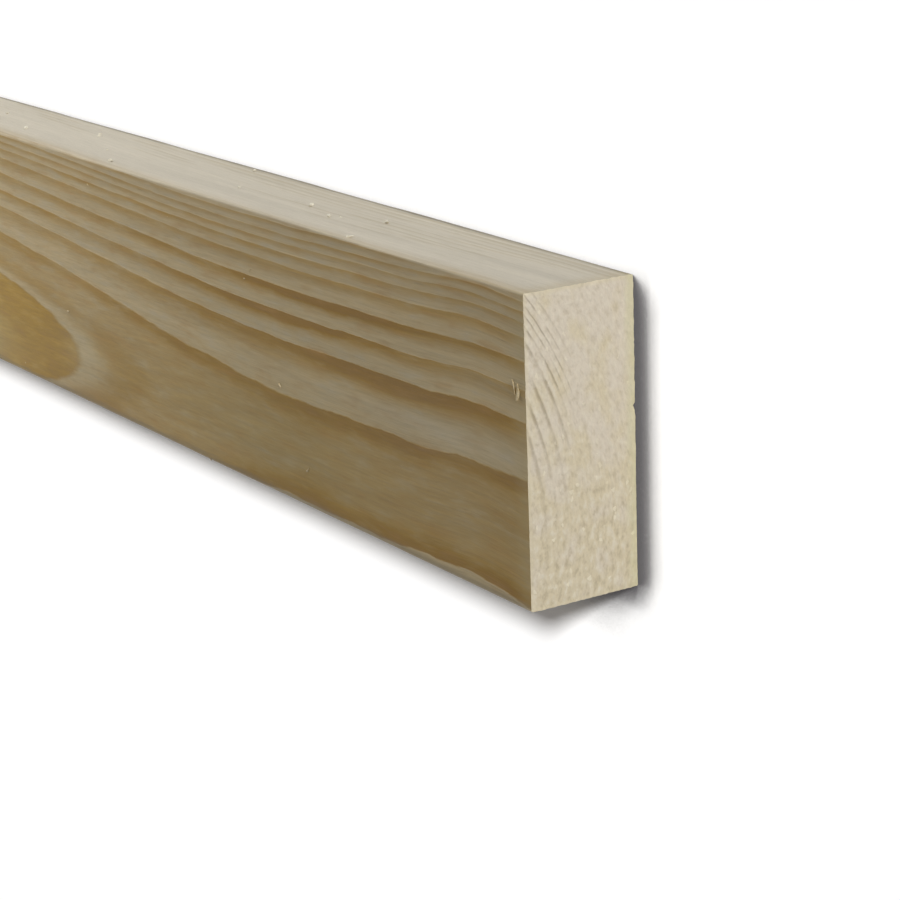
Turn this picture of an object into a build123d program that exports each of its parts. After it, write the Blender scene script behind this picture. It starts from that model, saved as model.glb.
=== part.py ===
from build123d import *

import os

# One planed softwood plank, lying flat on a broad face.
# The origin is the middle of the underside; X runs along the grain, Z is up.

# Driving dimensions, in millimetres
length = 1800
width = 94
thickness = 38
arris_radius = 0.6

os.makedirs("parts", exist_ok=True)

# The section is drawn at one sawn end, with its lower edge on Z = 0.
section_plane = Plane.YZ.offset(-length / 2)

with BuildPart() as plank:
    with BuildSketch(section_plane):
        Rectangle(width, thickness, align=(Align.CENTER, Align.MIN))
    extrude(amount=length)
    # The planer eases the four long edges; both ends stay as crisp as the saw left them.
    fillet(plank.edges().filter_by(Axis.X), radius=arris_radius)

plank.part.label = "plank"
export_step(plank.part, "parts/plank.step")
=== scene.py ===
import math

import bmesh
import bpy
import numpy as np
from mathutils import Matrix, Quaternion, Vector


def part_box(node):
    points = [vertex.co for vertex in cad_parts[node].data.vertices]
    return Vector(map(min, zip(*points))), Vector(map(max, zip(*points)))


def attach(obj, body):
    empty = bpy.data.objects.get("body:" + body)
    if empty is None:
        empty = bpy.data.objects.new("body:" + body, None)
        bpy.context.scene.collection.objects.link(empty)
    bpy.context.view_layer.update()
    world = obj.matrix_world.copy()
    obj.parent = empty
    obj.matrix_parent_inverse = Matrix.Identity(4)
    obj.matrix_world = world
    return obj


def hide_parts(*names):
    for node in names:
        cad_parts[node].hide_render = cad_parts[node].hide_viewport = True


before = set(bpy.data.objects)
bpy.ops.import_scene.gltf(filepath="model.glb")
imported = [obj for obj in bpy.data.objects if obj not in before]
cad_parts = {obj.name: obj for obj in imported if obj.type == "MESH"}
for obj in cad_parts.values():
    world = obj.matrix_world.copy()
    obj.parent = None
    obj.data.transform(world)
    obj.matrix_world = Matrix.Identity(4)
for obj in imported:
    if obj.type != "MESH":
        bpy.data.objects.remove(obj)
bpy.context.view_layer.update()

low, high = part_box("plank")
scene = bpy.context.scene
scene.view_settings.view_transform = "Standard"

# the wood's figure is worked out in millimetres of the frame, and these are the plank's faces there
inMm = 1000
endFace, sideFace, upperFace = (c * inMm for c in high)
endFacing = 0.7      # a face whose normal leans further than this along X belongs to a sawn end


# an sRGB colour, 0 to 255, as the linear colour that the shaders want
def tone(red, green, blue):
    linear = []
    for level in (red / 255, green / 255, blue / 255):
        linear.append(level / 12.92 if level <= 0.04045 else ((level + 0.055) / 1.055) ** 2.4)
    return (*linear, 1.0)


# a node's output that takes part in Python sums; each sum adds its Math nodes
class Wire:
    def __init__(self, graph, socket):
        self.graph = graph
        self.socket = socket

    def also(self, output):  # another output of the same node
        return Wire(self.graph, self.socket.node.outputs[output])

    def math(self, operation, *values):
        sockets = dict(enumerate((self, *values)))
        return self.graph.add("ShaderNodeMath", {"operation": operation}, sockets)

    def reflected(self, operation, value):  # the wire is the second of the two
        return self.graph.add("ShaderNodeMath", {"operation": operation}, {0: value, 1: self})

    def __add__(self, value):
        return self.math("ADD", value)

    def __sub__(self, value):
        return self.math("SUBTRACT", value)

    def __mul__(self, value):
        return self.math("MULTIPLY", value)

    def __truediv__(self, value):
        return self.math("DIVIDE", value)

    def __pow__(self, value):
        return self.math("POWER", value)

    def __gt__(self, value):
        return self.math("GREATER_THAN", value)

    def __lt__(self, value):
        return self.math("LESS_THAN", value)

    def __rsub__(self, value):
        return self.reflected("SUBTRACT", value)

    def __rtruediv__(self, value):
        return self.reflected("DIVIDE", value)

    def __abs__(self):
        return self.math("ABSOLUTE")

    __radd__ = __add__
    __rmul__ = __mul__


# adds nodes to a shader tree or a Geometry Nodes tree
class Graph:
    def __init__(self, tree):
        self.tree = tree

    def add(self, kind, settings=None, sockets=None, out=0):
        node = self.tree.nodes.new(kind)
        for name, value in (settings or {}).items():
            if name == "points":
                self.bendCurve(node.mapping, value)
            else:
                setattr(node, name, value)
        for name, value in (sockets or {}).items():
            socket = self.find(node, name)
            if isinstance(value, Wire):
                self.tree.links.new(value.socket, socket)
            else:
                socket.default_value = value
        return Wire(self, node.outputs[out]) if len(node.outputs) else None

    def find(self, node, name):
        if isinstance(name, int):
            return node.inputs[name]
        return next(s for s in node.inputs if s.enabled and s.name == name)

    def bendCurve(self, mapping, points):  # straight runs between given points
        curve = mapping.curves[0]
        while len(curve.points) < len(points):
            curve.points.new(0.5, 0.5)
        for point, place in zip(curve.points, points):
            point.location = place
            point.handle_type = "VECTOR"
        mapping.update()

    def split(self, vector):
        part = self.add("ShaderNodeSeparateXYZ", None, {"Vector": vector})
        return part, part.also("Y"), part.also("Z")

    def join(self, x, y, z):
        return self.add("ShaderNodeCombineXYZ", None, {"X": x, "Y": y, "Z": z})

    def noise(self, x, y, z, detail=2.0, roughness=0.5):
        sockets = {"Vector": self.join(x, y, z), "Scale": 1.0, "Detail": detail,
                   "Roughness": roughness}
        return self.add("ShaderNodeTexNoise", None, sockets)

    def chance(self, least, most, seed):
        return self.add("FunctionNodeRandomValue", {"data_type": "FLOAT"},
                        {"Min": least, "Max": most, "Seed": seed}, "Value")

    # rises smoothly from 0 to 1 while the value goes from start to end
    def rise(self, value, start, end):
        settings = {"interpolation_type": "SMOOTHSTEP", "clamp": True}
        return self.add("ShaderNodeMapRange", settings,
                        {"Value": value, "From Min": start, "From Max": end})

    def blend(self, factor, first, second, way="MIX"):
        settings = {"data_type": "RGBA", "blend_type": way, "clamp_factor": True}
        sockets = {"Factor": factor, "A": first, "B": second}
        mixed = self.add("ShaderNodeMix", settings, sockets)
        return Wire(self, next(s for s in mixed.socket.node.outputs if s.enabled))


# Growth of the tree that the plank was cut from, in millimetres of the frame.
# The pith runs above the upper broad face and wanders along the length.
growth = {
    "pithY": -28, "pithZ": 131.3,
    "dip": 7.1, "dipFrom": 808, "dipReach": 165,
    "sway": 7, "swayFrom": 908, "swayReach": 320,
    "lift": 2.7, "liftAt": 873, "liftReach": 27,       # the grain lifts just before the end
    "pinch": 0.93, "pinchAt": 811, "pinchReach": 50,   # and the years lie closer before that
    "wander": 9, "wanderLength": 260, "wanderFrom": 500, "wanderFull": 250,    # then the pith strays
    "warp": 0.8, "warpLength": 80, "warpWidth": 25,
    "ripple": 0.5, "rippleLength": 14, "rippleWidth": 4,
    "firstYear": 65.9,               # radius where the first listed year starts
    "yearWidths": (8.0, 7.5, 6.8, 5.8, 5.0, 3.6, 4.0, 3.8, 2.4, 1.8, 1.7, 1.9),
    "calmYear": 3,                   # an even olive year with a false ring and a thin dark edge
    "calmEdge": (0.16, 530, 80),     # how much wider that edge gets, where, and over what reach
    # year, middle and reach of a stretch where its latewood is darker or paler, and by how much
    "stretches": (
        (2, 560, 90, 0.25), (3, 770, 110, 0.38), (4, 745, 45, 0.1), (4, 838, 40, 0.6),
        (3, 895, 25, 0.3), (5, 762, 50, 0.6), (5, 870, 30, -0.2), (6, 785, 45, 0.7),
    ),
    "laterWidth": 2.3, "laterRadius": 175,
    "sapwoodStart": 112, "sapwoodFull": 124,
}


# a smooth hump of the given height around one place
def hump(x, height, middle, reach):
    place = (x - middle) / reach
    return height / (1 + place * place)


# radius from the pith, years counted outwards, and the place within the year from 0 to 1
def growthRings(g, position):
    x, y, z = (c * inMm for c in g.split(position))
    dip = (((x - growth["dipFrom"]) / growth["dipReach"]).math("COSINE") - 1) * growth["dip"]
    sway = (1 - ((x - growth["swayFrom"]) / growth["swayReach"]).math("COSINE")) * growth["sway"]
    lift = hump(x, growth["lift"], growth["liftAt"], growth["liftReach"])
    pinch = hump(x, growth["pinch"], growth["pinchAt"], growth["pinchReach"])
    strays = 1 - g.rise(x, growth["wanderFull"], growth["wanderFrom"])
    stray = (g.noise(x / growth["wanderLength"], 5.0, 0.0) - 0.5) * strays * growth["wander"]
    across = y - growth["pithY"] + sway - lift + stray * 2
    below = growth["pithZ"] + dip + stray - z
    length, width = growth["warpLength"], growth["warpWidth"]
    warp = (g.noise(x / length, y / width, z / width) - 0.5) * growth["warp"]
    length, width = growth["rippleLength"], growth["rippleWidth"]
    ripple = (g.noise(x / length, y / width, z / width, 3, 0.6) - 0.5) * growth["ripple"]
    radius = (across * across + below * below).math("SQRT") - pinch + warp + ripple

    # the listed years, then narrow ones whose widths only noise tells apart
    edges = np.concatenate([[0], np.cumsum(growth["yearWidths"])])
    last = growth["firstYear"] + edges[-1]
    span = growth["laterRadius"] - growth["firstYear"]
    years = len(edges) - 1 + (span - edges[-1]) / growth["laterWidth"]
    points = [(edge / span, count / years) for count, edge in enumerate(edges)] + [(1, 1)]
    uneven = (g.noise(radius / 5, 3.0, 0.0) - 0.5) * g.rise(radius, last, last + 6) * 3
    share = (radius + uneven - growth["firstYear"]) / span
    count = g.add("ShaderNodeFloatCurve", {"points": points}, {"Value": share}) * years
    year = count.math("FLOOR")
    return {"x": x, "y": y, "z": z, "radius": radius, "around": across / below * 100,
            "phase": count.math("FRACT"), "year": year, "young": 1 - g.rise(year, 2.2, 2.8)}


# the dense dark wood that ends each year, with a crisp outer edge
def latewood(g, ring):
    phase = ring["phase"]
    calm = ring["year"].math("COMPARE", growth["calmYear"], 0.5)
    sooner = ring["young"] * 0.2        # the innermost years darken early
    build = g.rise(phase, 0.3 - sooner, 0.92 - sooner)
    falseRing = g.rise(phase, 0.1, 0.22) * (1 - g.rise(phase, 0.3, 0.5)) * 0.3
    onset = 0.8 - hump(ring["x"], *growth["calmEdge"])
    even = g.rise(phase, 0.06, 0.26) * 0.5 + falseRing + g.rise(phase, onset, onset + 0.18) * 0.42
    edge = 1 - g.rise(phase, 0.0, 0.05)
    return (build + (even - build) * calm).math("MAXIMUM", edge)


# each year darkens more or less along the length, by chance and over the listed stretches
def vigour(g, ring):
    strength = 0.3 + g.noise(ring["x"] / 110, ring["year"] * 5.3, 0.0, 2, 0.7) * 0.85
    for year, middle, reach, change in growth["stretches"]:
        inYear = ring["year"].math("COMPARE", year, 0.5)
        strength = strength + hump(ring["x"], change, middle, reach) * inYear
    return strength


def newMaterial(name):
    material = bpy.data.materials.new(name)
    material.use_nodes = True
    material.node_tree.nodes.clear()
    return material, Graph(material.node_tree)


# multiplies a colour by a plain number
def shaded(g, colour, level):
    return g.blend(1.0, colour, g.join(level, level, level), "MULTIPLY")


# ends a wood material with one shader over a bumped surface
def woodSurface(g, look, colour, rough, height):
    strength, depth = look["bump"]
    bump = g.add("ShaderNodeBump", None, {"Strength": strength, "Distance": depth, "Height": height})
    bsdf = g.add("ShaderNodeBsdfPrincipled", None,
                 {"Base Color": colour, "Roughness": rough, "Normal": bump,
                  "Specular IOR Level": look["sheen"]})
    g.add("ShaderNodeOutputMaterial", None, {"Surface": bsdf})


# millimetres from a point on the long faces to the nearest long arris
def fromArris(y, z):
    fromSide = sideFace - abs(y)
    fromFace = z.math("MINIMUM", upperFace - z)
    return fromSide.math("MAXIMUM", fromFace)


# noise that is drawn out along the grain: its length, depth and width in millimetres,
# then its detail and its roughness
grainNoise = {
    "fine": (9, 0.22, 0.3, 2, 0.5),
    "fibres": (24, 0.7, 1.1, 3, 0.65),
    "clouds": (130, 5, 9, 2, 0.5),
    "blotch": (17, 2.4, 4, 2, 0.6),
    "lines": (50, 4, 14, 2, 0.5),
    "dashes": (4, 0.2, 0.25, 1, 0.5),
    "torn": (14, 0.5, 0.8, 2, 0.5),
}


def grain(g, ring, name):
    length, depth, width, detail, roughness = grainNoise[name]
    return g.noise(ring["x"] / length, ring["radius"] / depth, ring["around"] / width, detail, roughness)


resinBrown = tone(122, 88, 40)
planedLook = {
    "early": tone(186, 167, 129), "late": tone(152, 117, 34), "honey": tone(177, 141, 50),
    "sapEarly": tone(205, 197, 180), "sapLate": tone(186, 174, 148),
    "resin": resinBrown, "bruisedAndHighlight": tone(224, 211, 178), "endStain": tone(180, 162, 118),
    "check": tone(118, 100, 66), "ruddy": tone(166, 128, 74), "ashen": tone(180, 170, 146),
    # the next colour is painted shade, laid on the lower face and arrises and along the upper face's -Y
    # arris
    "paintedShade": tone(116, 108, 92), "roughness": 0.6, "sheen": 0.2,
    "bump": (0.6, 0.00025),          # strength, and height in metres
    "linedFrom": 136, "linedReach": 70, "linedMore": (0.15, 800, 80),    # where the sapwood has lines
    # how much of each colour shows at its strongest
    "amounts": {"resin": 0.55, "dashes": 0.35, "ruddy": 0.35, "ashen": 0.45,
                "lowerPaintedShade": 0.8, "nearPaintedShade": 0.55, "endStain": 0.3},
    # each stain on the upper face has its x, y, reach along, reach across, depth and colour
    "stains": (
        (612, -46, 26, 5, 0.5, resinBrown),
        (832, -12, 12, 2.5, 0.3, resinBrown),
        (745, -30, 80, 16, 0.3, tone(120, 112, 70)),
        (850, -3, 35, 3.2, 0.45, tone(190, 180, 156)),
        (512, -40, 22, 11, 0.6, tone(172, 158, 122)),
        (606, -28, 12, 10, 0.35, tone(192, 179, 146)),
    ),
}


def planedWood():
    material, g = newMaterial("planedWood")
    ring = growthRings(g, g.add("ShaderNodeTexCoord", out="Object"))
    late = latewood(g, ring)
    amounts = planedLook["amounts"]
    x, y, z, radius = (ring[k] for k in ("x", "y", "z", "radius"))
    fine, fibres, clouds, blotch = (grain(g, ring, n) for n in ("fine", "fibres", "clouds", "blotch"))
    lined = grain(g, ring, "lines") + (radius - planedLook["linedFrom"]) / planedLook["linedReach"]
    lined = lined + hump(x, *planedLook["linedMore"])
    upper = g.rise(z, upperFace - 1.0, upperFace - 0.2)
    upper = upper * (1 - g.rise(y, sideFace - 1.0, sideFace - 0.2))      # heartwood right across it
    sap = g.rise(radius, growth["sapwoodStart"], growth["sapwoodFull"]) * (1 - upper * 0.85)

    early = g.blend(sap, planedLook["early"], planedLook["sapEarly"])
    dark = g.blend(ring["young"], planedLook["late"], planedLook["honey"])
    dark = g.blend(sap, dark, planedLook["sapLate"])
    plain = sap * (1 - g.rise(lined, 0.5, 0.75))      # sapwood with hardly any lines
    depth = late * vigour(g, ring) * (0.75 + blotch * 0.5) * (1 - plain * 0.85)
    colour = g.blend(depth, early, dark)
    resinous = g.rise(depth, 0.7, 1.2) * (1 - sap) * amounts["resin"]
    colour = g.blend(resinous, colour, planedLook["resin"])
    dashes = g.rise(grain(g, ring, "dashes"), 0.68, 0.8) * late
    colour = g.blend(dashes * amounts["dashes"], colour, planedLook["resin"])
    torn = g.rise(grain(g, ring, "torn"), 0.62, 0.8)
    torn = torn * (0.15 + g.rise(radius, 100, 112) * 0.25) * (1 - plain * 0.8)
    colour = g.blend(torn, colour, planedLook["check"])
    ruddy = g.rise(blotch, 0.5, 0.75) * (1 - sap) * amounts["ruddy"]
    colour = g.blend(ruddy, colour, planedLook["ruddy"])
    bleached = g.rise(0.5 - blotch, 0.0, 0.25) * (1 - sap) * (1 - depth)
    colour = g.blend(bleached * amounts["ashen"], colour, planedLook["ashen"])
    for alongAt, acrossAt, length, width, amount, stained in planedLook["stains"]:
        stain = hump(x, amount, alongAt, length) * hump(y, 1, acrossAt, width) * upper
        colour = g.blend(stain, colour, stained)
    level = 1 + (fine - 0.5) * 0.22 + (fibres - 0.5) * 0.5 * (1 - sap * 0.6) + (clouds - 0.5) * 0.3
    colour = shaded(g, colour, level)

    # crushed pale fibres on the long arrises that are partly a painted highlight, painted shade on the
    # lower face, its arrises and the upper face's -Y arris, and a stain that crept in from the sawn ends
    arris = 1 - g.rise(fromArris(y, z) + (fibres - 0.5) * 1.6, 0.1, 0.8)
    wornAndHighlit = g.rise(g.noise(x / 22, y / 20, z / 20), 0.45, 0.65)
    # pale crushed fibres along the long arrises, partly a painted highlight on them
    colour = g.blend(arris * (0.05 + wornAndHighlit * 0.4), colour, planedLook["bruisedAndHighlight"])
    # painted shade on the lower face, where the plank lies on the floor, and up its sides for about 3 mm
    lower = 1 - g.rise(z + (fibres - 0.5) * 2, 0.5, 3.0)
    colour = g.blend(lower * amounts["lowerPaintedShade"], colour, planedLook["paintedShade"])
    # painted shade along the upper face's -Y arris, which turns away from the lamps
    fromNear = y + sideFace + (fibres - 0.5) * 2
    nearSide = (1 - g.rise(fromNear, 0.5, 3.0)) * g.rise(z, upperFace - 5, upperFace - 2)
    colour = g.blend(nearSide * amounts["nearPaintedShade"], colour, planedLook["paintedShade"])
    ends = 1 - g.rise(endFace - abs(x) + (fibres - 0.5) * 6, 0, 9)
    colour = g.blend(ends * amounts["endStain"], colour, planedLook["endStain"])

    height = fine * 0.5 + fibres + late * 0.8 * (1 - sap * 0.7) - torn * 0.6
    rough = planedLook["roughness"] + fibres * 0.16 - late * 0.08
    woodSurface(g, planedLook, colour, rough, height)
    return material


sawnLook = {
    "ground": tone(230, 218, 198), "warm": tone(227, 213, 181), "ring": tone(164, 148, 122),
    "ridge": tone(240, 231, 211), "pit": tone(193, 177, 146), "rim": tone(232, 219, 186),
    "green": tone(222, 216, 172), "fleck": tone(255, 246, 222),
    "roughness": 0.85, "sheen": 0.15, "bump": (0.5, 0.0006),
    "amounts": {"warm": 0.85, "ring": 0.65, "ridge": 0.4, "rim": 0.5, "green": 0.45},
}


def sawnEnd():
    material, g = newMaterial("sawnEnd")
    ring = growthRings(g, g.add("ShaderNodeTexCoord", out="Object"))
    x, y, z, phase = ring["x"], ring["y"], ring["z"], ring["phase"]
    amounts = sawnLook["amounts"]
    side = x.math("SIGN") * 30           # the two ends differ
    patches = g.noise(y / 12, z / 8, side, 2)
    mottle = g.noise(ring["radius"] / 1.8, ring["around"] / 3, side + 7, 2, 0.6)
    dashes = g.noise(y / 2, z / 1.1, side + 11, 2, 0.6)
    gaps = g.noise(y / 9, z / 3, side + 19, 2)
    broken = g.noise(ring["around"] / 12, ring["year"] * 3.7, side + 23, 2)
    bundle = g.add("ShaderNodeTexVoronoi", None,
                   {"Vector": g.join(y / 1.2, z / 0.9, side), "Scale": 1.0}, "Color")
    grey = g.split(bundle)[0]

    # the dark rings show best near the upper arris of the heartwood, and break up
    shows = g.rise(z + (gaps - 0.5) * 14, upperFace - 18, upperFace - 7)
    shows = shows * (0.12 + g.rise(y, -22, 10) * 0.88)
    shows = shows * g.rise(broken, 0.28, 0.55) * (1 - g.rise(ring["radius"], 116, 123) * 0.9)
    line = g.rise(phase, 0.54, 0.82) * (1 - g.rise(phase, 0.85, 0.98)) * shows
    ridge = (1 - g.rise(phase, 0.15, 0.5)) * shows
    warm = g.rise(patches - y / 300, 0.35, 0.65) * amounts["warm"]
    colour = g.blend(warm, sawnLook["ground"], sawnLook["warm"])
    colour = g.blend(line * amounts["ring"], colour, sawnLook["ring"])
    colour = g.blend(ridge * amounts["ridge"], colour, sawnLook["ridge"])
    rougher = 0.35 + g.rise(y, 10, -35) * 0.3       # the saw tore the lower half more
    # where the mottle sinks the surface the end is painted darker and where it rises paler: painted
    # shade in the hollows, painted highlight on the high spots
    colour = g.blend(g.rise(mottle, 0.48, 0.74) * rougher, colour, sawnLook["pit"])
    colour = g.blend(g.rise(0.5 - mottle, 0.0, 0.2) * rougher, colour, sawnLook["ridge"])
    colour = g.blend(g.rise(grey, 0.97, 1.0) * rougher, colour, sawnLook["fleck"])
    fromEdge = (sideFace - abs(y)).math("MINIMUM", z).math("MINIMUM", upperFace - z)
    colour = g.blend((1 - g.rise(fromEdge, 0.3, 1.8)) * amounts["rim"], colour, sawnLook["rim"])
    green = (1 - g.rise(z + (patches - 0.5) * 6, 1.0, 4.5)) * amounts["green"]
    colour = g.blend(green, colour, sawnLook["green"])
    # the y term makes the end a little lighter towards +Y and darker towards -Y
    colour = shaded(g, colour, 1 + (dashes - 0.5) * 0.2 + y * 0.0005)
    height = grey * 0.3 - mottle * 0.8 - line * 0.15 + dashes * 0.5
    woodSurface(g, sawnLook, colour, sawnLook["roughness"], height)
    return material


fibreLook = {
    "pale": tone(238, 233, 216), "brown": tone(190, 171, 130),
    "roughness": 0.75, "sheen": 0.2, "bump": (0.5, 0.0002),
}


def tornFibre():
    material, g = newMaterial("tornFibre")
    x, y, z = (c * inMm for c in g.split(g.add("ShaderNodeTexCoord", out="Object")))
    streak = g.noise(x / 3, y / 0.4, z / 0.4, 3)
    onUpper = g.rise(z, upperFace - 1.2, upperFace - 0.4)
    brown = g.rise(streak, 0.4, 0.7) * 0.5 + onUpper * 0.8
    colour = g.blend(brown, fibreLook["pale"], fibreLook["brown"])
    woodSurface(g, fibreLook, colour, fibreLook["roughness"], streak)
    return material


plankShape = {
    "Length": high.x - low.x, "Width": high.y - low.y, "Thickness": high.z - low.z,
    "Arris Radius": 0.0006, "Grain Relief": 0.00012, "Saw Relief": 0.00025, "Nick Depth": 0.0009,
    "rows": (170, 120, 52),          # mesh lines along, across and through
    "crowding": (0.9, 0.35, 0.35),   # how far the lines crowd towards the edges
    "outermost": 0.9999,             # share of the half size past which a corner lies on a face
    "crispFrom": 55,                 # degrees between faces from which an edge is drawn crisp
    "nick": (0.0078, 0.0, 0.0014),   # y and z of the nick in each end's lower edge, and its reach
    "wearLength": 0.03, "bruiseLength": 0.014,              # along the arrises
    "tear": (0.0011, 0.0009), "chipSize": 0.004,            # across the sawn ends
}


def geometryTree(name, inputs):
    group = bpy.data.node_groups.new(name, "GeometryNodeTree")
    group.is_modifier = True
    keys = {}
    for label in inputs:
        socket = group.interface.new_socket(label, in_out="INPUT", socket_type="NodeSocketFloat")
        keys[label] = socket.identifier
    group.interface.new_socket("Geometry", in_out="OUTPUT", socket_type="NodeSocketGeometry")
    return group, Graph(group), keys


# a grid box that is eased at its arrises, raised along the latewood and rough at its sawn ends
def plankBody(planed, sawn):
    names = [key for key in plankShape if key[0].isupper()]
    group, g, keys = geometryTree("plankBody", names)
    start = g.add("NodeGroupInput")
    size = [start.also(name) for name in ("Length", "Width", "Thickness")]
    arris, relief, saw = (start.also(n) for n in ("Arris Radius", "Grain Relief", "Saw Relief"))
    rows = dict(zip(("Vertices X", "Vertices Y", "Vertices Z"), plankShape["rows"]))
    box = g.add("GeometryNodeMeshCube", None, {"Size": g.join(*size), **rows})

    half = [s * 0.5 for s in size]
    place = []
    shares = []
    for c, h, crowd in zip(g.split(g.add("GeometryNodeInputPosition")), half, plankShape["crowding"]):
        share = c / h
        shares.append(share)
        place.append((share + (share * math.pi).math("SINE") * (crowd / math.pi)) * h)
    x, y, z = place
    onEnd = abs(shares[0]) > plankShape["outermost"]
    onSide = abs(shares[1]).math("MAXIMUM", abs(shares[2])) > plankShape["outermost"]

    # the arris is a little uneven, with a bruise here and there
    corner = y.math("SIGN") * 7.3, z.math("SIGN") * 11.9
    wear = g.noise(x / plankShape["wearLength"], *corner)
    bruise = g.rise(g.noise(x / plankShape["bruiseLength"], corner[0] + 40, corner[1]), 0.66, 0.8)
    radius = arris * (0.6 + wear * 0.8 + bruise * 1.2)
    coreY = y.math("MAXIMUM", radius - half[1]).math("MINIMUM", half[1] - radius)
    coreZ = z.math("MAXIMUM", radius - half[2]).math("MINIMUM", half[2] - radius)
    outY, outZ = y - coreY, z - coreZ
    reach = abs(outY).math("MAXIMUM", abs(outZ))
    pull = reach / ((outY * outY + outZ * outZ).math("SQRT") + 1e-9)

    ring = growthRings(g, g.join(x, y, z + half[2]))
    sunk = (1 - latewood(g, ring)) * relief * onSide
    inward = pull * (1 - sunk / radius)

    # the saw tears the end grain, and chips its rim in places
    tearY, tearZ = plankShape["tear"]
    torn = g.noise(y / tearY, z / tearZ, x / 0.005, 2, 0.6) * saw
    nickY, nickZ, nickReach = plankShape["nick"]
    fromNick = ((y - nickY) ** 2 + (z + half[2] - nickZ) ** 2).math("SQRT")
    chip = plankShape["chipSize"]
    chipped = g.rise(g.noise(y / chip, z / chip, x / 0.01 + 8, 1), 0.62, 0.78) * onSide
    nicked = (1 - g.rise(fromNick, 0, nickReach)).math("MAXIMUM", chipped * 0.5)
    cut = (torn + nicked * start.also("Nick Depth")) * onEnd
    moved = g.join(x - x.math("SIGN") * cut, coreY + outY * inward, coreZ + outZ * inward + half[2])
    shaped = g.add("GeometryNodeSetPosition", None, {"Geometry": box, "Position": moved})
    smooth = g.add("GeometryNodeSetShadeSmooth", {"domain": "FACE"}, {"Geometry": shaped})
    crisp = g.add("GeometryNodeInputMeshEdgeAngle") > math.radians(plankShape["crispFrom"])
    eased = g.add("GeometryNodeSetShadeSmooth", {"domain": "EDGE"},
                  {"Geometry": smooth, "Selection": crisp, "Shade Smooth": False})
    normalX = g.split(g.add("GeometryNodeInputNormal"))[0]
    real = g.add("GeometryNodeRealizeInstances", None, {"Geometry": eased})
    allPlaned = g.add("GeometryNodeSetMaterial", None, {"Geometry": real, "Material": planed})
    dressed = g.add("GeometryNodeSetMaterial", None,
                    {"Geometry": allPlaned, "Selection": abs(normalX) > endFacing, "Material": sawn})
    g.add("NodeGroupOutput", None, {"Geometry": dressed})
    return makeMesh("plankBody", group, {keys[n]: plankShape[n] for n in names})


# runs a Geometry Nodes tree once and keeps the result as a plain mesh
def makeMesh(name, group, values):
    piece = bpy.data.objects.new(name, bpy.data.meshes.new(name))
    scene.collection.objects.link(piece)
    modifier = piece.modifiers.new(name, "NODES")
    modifier.node_group = group
    for key, value in values.items():
        modifier[key] = value
    bpy.context.view_layer.update()
    seen = piece.evaluated_get(bpy.context.evaluated_depsgraph_get())
    mesh = bpy.data.meshes.new_from_object(seen)
    piece.modifiers.remove(modifier)
    piece.data = mesh
    return piece


# shares of the unit square: where the long faces and the two ends start, and how far they go
plankStrips = {
    "long": {"left": 0.002, "foot": 0.002, "wide": 0.996, "tall": 0.8},
    "ends": {"left": (0.005, 0.505), "foot": 0.815, "wide": 0.49, "tall": 0.18},
}


# lays the four long faces out as strips side by side, and the two ends beside them
def unwrapPlank(piece):
    mesh = piece.data
    size = high - low
    around = 2 * (size.y + size.z)
    strip, ends = plankStrips["long"], plankStrips["ends"]
    uvs = mesh.uv_layers.new(name="OFBake").data
    for face in mesh.polygons:
        onEnd = abs(face.normal.x) > endFacing
        for corner in face.loop_indices:
            x, y, z = mesh.vertices[mesh.loops[corner].vertex_index].co
            if onEnd:
                left = ends["left"][0 if face.center.x > 0 else 1]
                u = left + (y - low.y) / size.y * ends["wide"]
                v = ends["foot"] + z / size.z * ends["tall"]
            else:
                u = strip["left"] + (x - low.x) / size.x * strip["wide"]
                v = strip["foot"] + alongRim(face.center, y, z) / around * strip["tall"]
            uvs[corner].uv = (u, v)


# how far round the section a point is, from the upper face's -Y arris, on its face's own side
def alongRim(middle, y, z):
    size = high - low
    onFace = min(middle.z, size.z - middle.z) < size.y / 2 - abs(middle.y)
    if onFace:
        return y - low.y if middle.z > size.z / 2 else size.y + size.z + high.y - y
    return size.y + high.z - z if middle.y > 0 else 2 * size.y + size.z + z


print("plank: growing the wood")
plank = plankBody(planedWood(), sawnEnd())
unwrapPlank(plank)
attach(plank, "root")
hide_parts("plank")
print("plank:", len(plank.data.polygons), "faces")


slivers = {
    "Density": 160, "Edge Density": 800, "Sliver Length": 0.0016, "Sliver Radius": 0.00036,
    "Edge Swell": 1.7, "Lift": 15, "Turn": 50, "seed": 11,
    "offEnd": 0.3, "onEdge": 0.7,    # how far a face leans along X, and across to a narrow edge
}


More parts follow.
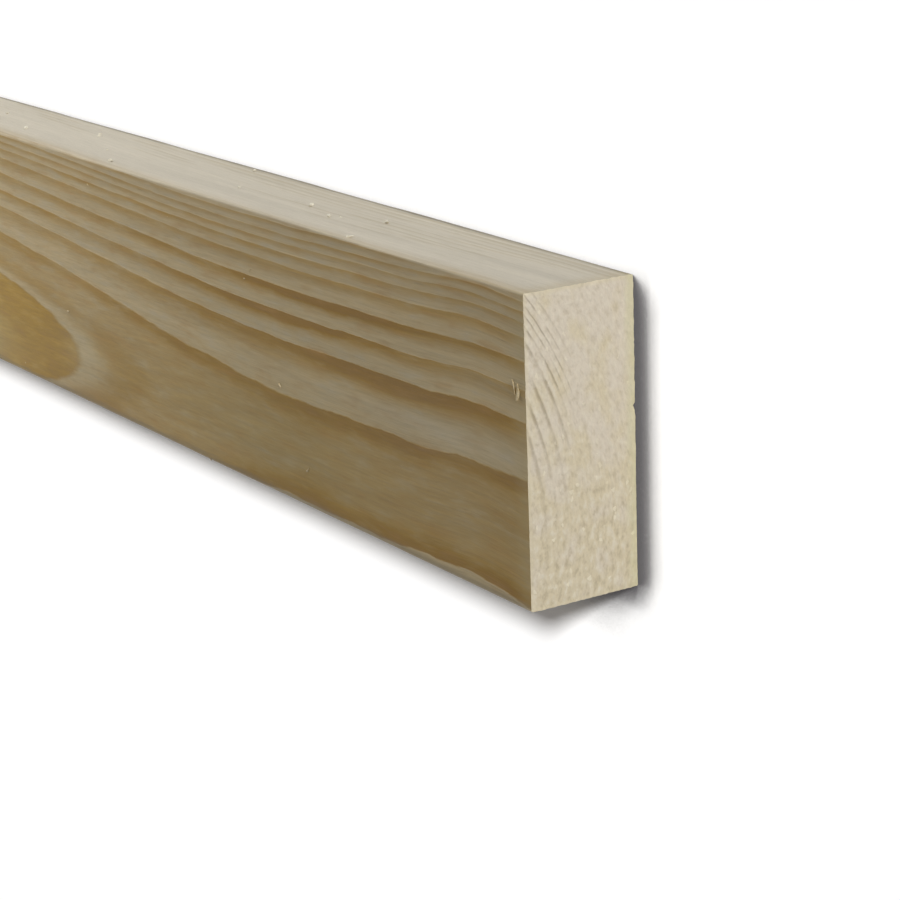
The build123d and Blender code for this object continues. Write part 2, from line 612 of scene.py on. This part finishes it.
# torn slivers of fibre that cling to the long faces
def looseSlivers(host, fibre):
    names = [key for key in slivers if key[0].isupper()]
    group, g, keys = geometryTree("looseSlivers", names)
    start = g.add("NodeGroupInput")
    faces = g.add("GeometryNodeObjectInfo", None, {"Object": host}, "Geometry")
    normal = g.split(g.add("GeometryNodeInputNormal"))
    onEdge = abs(normal[1]) > slivers["onEdge"]
    density = start.also("Density")
    points = g.add("GeometryNodeDistributePointsOnFaces", None,
                   {"Mesh": faces, "Selection": abs(normal[0]) < slivers["offEnd"],
                    "Density": density + (start.also("Edge Density") - density) * onEdge,
                    "Seed": slivers["seed"]})
    cone = g.add("GeometryNodeMeshCone", None,
                 {"Vertices": 5, "Radius Top": 0.0, "Radius Bottom": start.also("Sliver Radius"),
                  "Depth": start.also("Sliver Length")})
    degree = math.radians(1)
    turn = g.chance(-1, 1, slivers["seed"] + 1) * start.also("Turn") * degree
    lean = math.pi / 2 - start.also("Lift") * g.chance(0, 1, slivers["seed"] + 2) * degree
    facing = g.add("FunctionNodeAlignRotationToVector", {"axis": "Z"}, {"Vector": points.also("Normal")})
    for angles in (g.join(0, 0, turn), g.join(0, lean, 0)):
        spin = g.add("FunctionNodeEulerToRotation", None, {"Euler": angles})
        facing = g.add("FunctionNodeRotateRotation", {"rotation_space": "LOCAL"},
                       {"Rotation": facing, "Rotate By": spin})
    steep = abs(g.split(points.also("Normal"))[1]) > slivers["onEdge"]
    swell = g.chance(0.4, 1.5, slivers["seed"] + 3) * (1 + steep * (start.also("Edge Swell") - 1))
    spread = g.add("GeometryNodeInstanceOnPoints", None,
                   {"Points": points, "Instance": cone, "Rotation": facing,
                    "Scale": g.join(swell, swell, swell)})
    real = g.add("GeometryNodeRealizeInstances", None, {"Geometry": spread})
    dressed = g.add("GeometryNodeSetMaterial", None, {"Geometry": real, "Material": fibre})
    g.add("NodeGroupOutput", None, {"Geometry": dressed})
    return makeMesh("looseSlivers", group, {keys[n]: slivers[n] for n in names})


chips = {
    "curledChip": {"from": (0.8959, 0.0203), "to": (0.8969, 0.0159),     # x and y on the upper face
                   "widths": (0.0003, 0.0006, 0.0009, 0.0012, 0.0012, 0.0006),
                   "thickness": 0.0005, "rise": 0.0010},
    "curledHair": {"from": (0.8933, 0.0211), "to": (0.8951, 0.0169),
                   "widths": (0.0001, 0.0003, 0.0004, 0.0004, 0.0003, 0.0001),
                   "thickness": 0.0003, "rise": 0.0004},
}

# shares of half the width and of the thickness, round the section of a curl
chipSection = ((-1, -0.5), (1, -0.5), (0.6, 0.5), (-0.6, 0.5))


# a curl of wood that the saw left on the upper face, close to the end
def curl(name, fibre):
    chip = chips[name]
    begin, finish = Vector((*chip["from"], high.z)), Vector((*chip["to"], high.z))
    across = (finish - begin).cross(Vector((0, 0, 1))).normalized()
    steps, sides = len(chip["widths"]) - 1, len(chipSection)
    corners, faces = [], []
    for step, width in enumerate(chip["widths"]):
        share = step / steps
        middle = begin.lerp(finish, share) + Vector((0, 0, chip["rise"] * share ** 2))
        for side, up in chipSection:
            edge = across * (side * width / 2)
            corners.append(middle + edge + Vector((0, 0, up * chip["thickness"])))
        if step:
            first = sides * (step - 1)
            for side in range(sides):
                after = (side + 1) % sides
                faces.append((first + side, first + after, first + sides + after, first + sides + side))
    faces += [tuple(reversed(range(sides))), tuple(range(sides * steps, sides * (steps + 1)))]
    mesh = bpy.data.meshes.new(name)
    mesh.from_pydata(corners, [], faces)
    mesh.materials.append(fibre)
    fixNormals(mesh)
    piece = bpy.data.objects.new(name, mesh)
    scene.collection.objects.link(piece)
    return piece


def fixNormals(mesh):
    shape = bmesh.new()
    shape.from_mesh(mesh)
    bmesh.ops.recalc_face_normals(shape, faces=shape.faces)
    shape.to_mesh(mesh)
    shape.free()


print("fibres: tearing a few loose")
fibre = tornFibre()
pieces = [plank, looseSlivers(plank, fibre), *(curl(name, fibre) for name in chips)]
for piece in pieces[1:]:
    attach(piece, "root")
    print(piece.name + ":", len(piece.data.polygons), "faces")


floorLook = {
    "reach": 30, "seen": tone(246, 246, 246), "bounce": (0.4, 0.4, 0.4, 1.0), "glow": tone(72, 71, 72),
    "closeMargin": 0.03, "shade": tone(58, 56, 58), "shadeRays": 8,
    # each close shade has its reach, the way it faces, and how hidden a spot is where it starts and ends
    "closeShades": (
        (0.0152, (-0.82, 0.58, 0.0), (0.08, 0.5)),
        (0.0255, (0.54, 0.77, 0.34), (0.23, 0.52)),
        (0.0085, (-0.72, 0.7, 0.0), (0.01, 0.38)),
    ),
}


# 1 for a ray that shows the background, 0 for one that lights the object
def shownRay(g):
    path = g.add("ShaderNodeLightPath", out="Is Camera Ray")
    shown = path.math("MAXIMUM", path.also("Is Glossy Ray"))
    return shown.math("MAXIMUM", path.also("Is Transmission Ray"))


# the floor takes the plank's shadow, and a deeper shade close to it
def floorMaterial(name, close):
    material, g = newMaterial(name)
    shown = shownRay(g)
    seen = floorLook["seen"]
    if close:
        for reach, facing, span in floorLook["closeShades"]:
            hidden = 1 - g.add("ShaderNodeAmbientOcclusion", {"samples": floorLook["shadeRays"]},
                               {"Distance": reach, "Normal": g.join(*facing)}, "AO")
            seen = g.blend(g.rise(hidden, *span), seen, floorLook["shade"])
    bsdf = g.add("ShaderNodeBsdfDiffuse", None, {"Color": g.blend(shown, floorLook["bounce"], seen)})
    glow = g.add("ShaderNodeEmission", None,
                 {"Color": g.blend(shown, (0, 0, 0, 1), floorLook["glow"])})
    lit = g.add("ShaderNodeAddShader", None, {0: bsdf, 1: glow})
    g.add("ShaderNodeOutputMaterial", None, {"Surface": lit})
    return material


# nine flat faces, of which the middle one lies under the plank and a little way round it
def addFloor():
    reach, margin = floorLook["reach"], floorLook["closeMargin"]
    xs = (-reach, low.x - margin, high.x + margin, reach)
    ys = (-reach, low.y - margin, high.y + margin, reach)
    corners = [(x, y, 0) for y in ys for x in xs]
    faces = []
    for row in range(len(ys) - 1):
        for i in range(len(xs) * row, len(xs) * (row + 1) - 1):
            faces.append((i, i + 1, i + 1 + len(xs), i + len(xs)))
    mesh = bpy.data.meshes.new("floor")
    mesh.from_pydata(corners, [], faces)
    mesh.materials.append(floorMaterial("paleFloor", False))
    mesh.materials.append(floorMaterial("paleFloorClose", True))
    mesh.polygons[len(faces) // 2].material_index = 1
    floor = bpy.data.objects.new("floor", mesh)
    scene.collection.objects.link(floor)
    return floor


floor = addFloor()


lights = {
    "sky": (0.14, 0.14, 0.14), "sunPlace": (0, 0, 3),
    "floorLamp": {"towards": (-1.25, -0.752, -1.0), "strength": 5.0, "softness": 7.6},
    "keyLamp": {"towards": (-0.72, -0.66, -0.06), "strength": 2.95, "softness": 25},
    "backLamp": {"towards": (0.6, 0.75, -0.1), "strength": 1.7, "softness": 25},
    "window": {"place": (-0.45, 0.3, 0.7), "aim": (-0.45, 0.0, 0.038), "size": (1.8, 0.5), "watts": 8.4},
}


def addLamp(name, data, place, towards):
    lamp = bpy.data.objects.new(name, data)
    lamp.location = place
    lamp.rotation_euler = Vector(towards).to_track_quat("-Z", "Y").to_euler()
    scene.collection.objects.link(lamp)
    return lamp


def addSun(name):
    look = lights[name]
    data = bpy.data.lights.new(name, "SUN")
    data.energy = look["strength"]
    data.angle = math.radians(look["softness"])
    return addLamp(name, data, lights["sunPlace"], look["towards"])


def addWindow():
    look = lights["window"]
    data = bpy.data.lights.new("window", "AREA")
    data.energy = look["watts"]
    data.shape = "RECTANGLE"
    data.size, data.size_y = look["size"]
    return addLamp("window", data, look["place"], Vector(look["aim"]) - Vector(look["place"]))


# this lamp falls on these things alone, and the rest still shades them
def onlyLights(lamp, things):
    group = bpy.data.collections.new(lamp.name + "Falls")
    for thing in things:
        group.objects.link(thing)
    lamp.light_linking.receiver_collection = group


def addWorld():
    world = bpy.data.worlds.new("studio")
    scene.world = world
    world.use_nodes = True
    world.node_tree.nodes.clear()
    g = Graph(world.node_tree)
    colour = g.blend(shownRay(g), (*lights["sky"], 1), (1, 1, 1, 1))
    sky = g.add("ShaderNodeBackground", None, {"Color": colour, "Strength": 1.0})
    g.add("ShaderNodeOutputWorld", None, {"Surface": sky})


addWorld()
onlyLights(addSun("floorLamp"), [floor])
for lamp in (addSun("keyLamp"), addSun("backLamp"), addWindow()):
    onlyLights(lamp, pieces)


cameraView = {
    "place": (1.498, 0.216, 0.440), "aim": (0.8592, -0.0075, 0.038),
    "roll": -102.2, "lens": 106.7, "sensor": 36, "nearest": 0.01,
}


def addCamera():
    data = bpy.data.cameras.new("camera")
    data.lens = cameraView["lens"]
    data.sensor_width = cameraView["sensor"]
    data.clip_start = cameraView["nearest"]
    camera = bpy.data.objects.new("camera", data)
    place, aim = Vector(cameraView["place"]), Vector(cameraView["aim"])
    look = (aim - place).to_track_quat("-Z", "Y")
    turn = look @ Quaternion((0, 0, 1), math.radians(cameraView["roll"]))
    camera.location = place
    camera.rotation_euler = turn.to_euler()
    scene.collection.objects.link(camera)
    scene.camera = camera


addCamera()
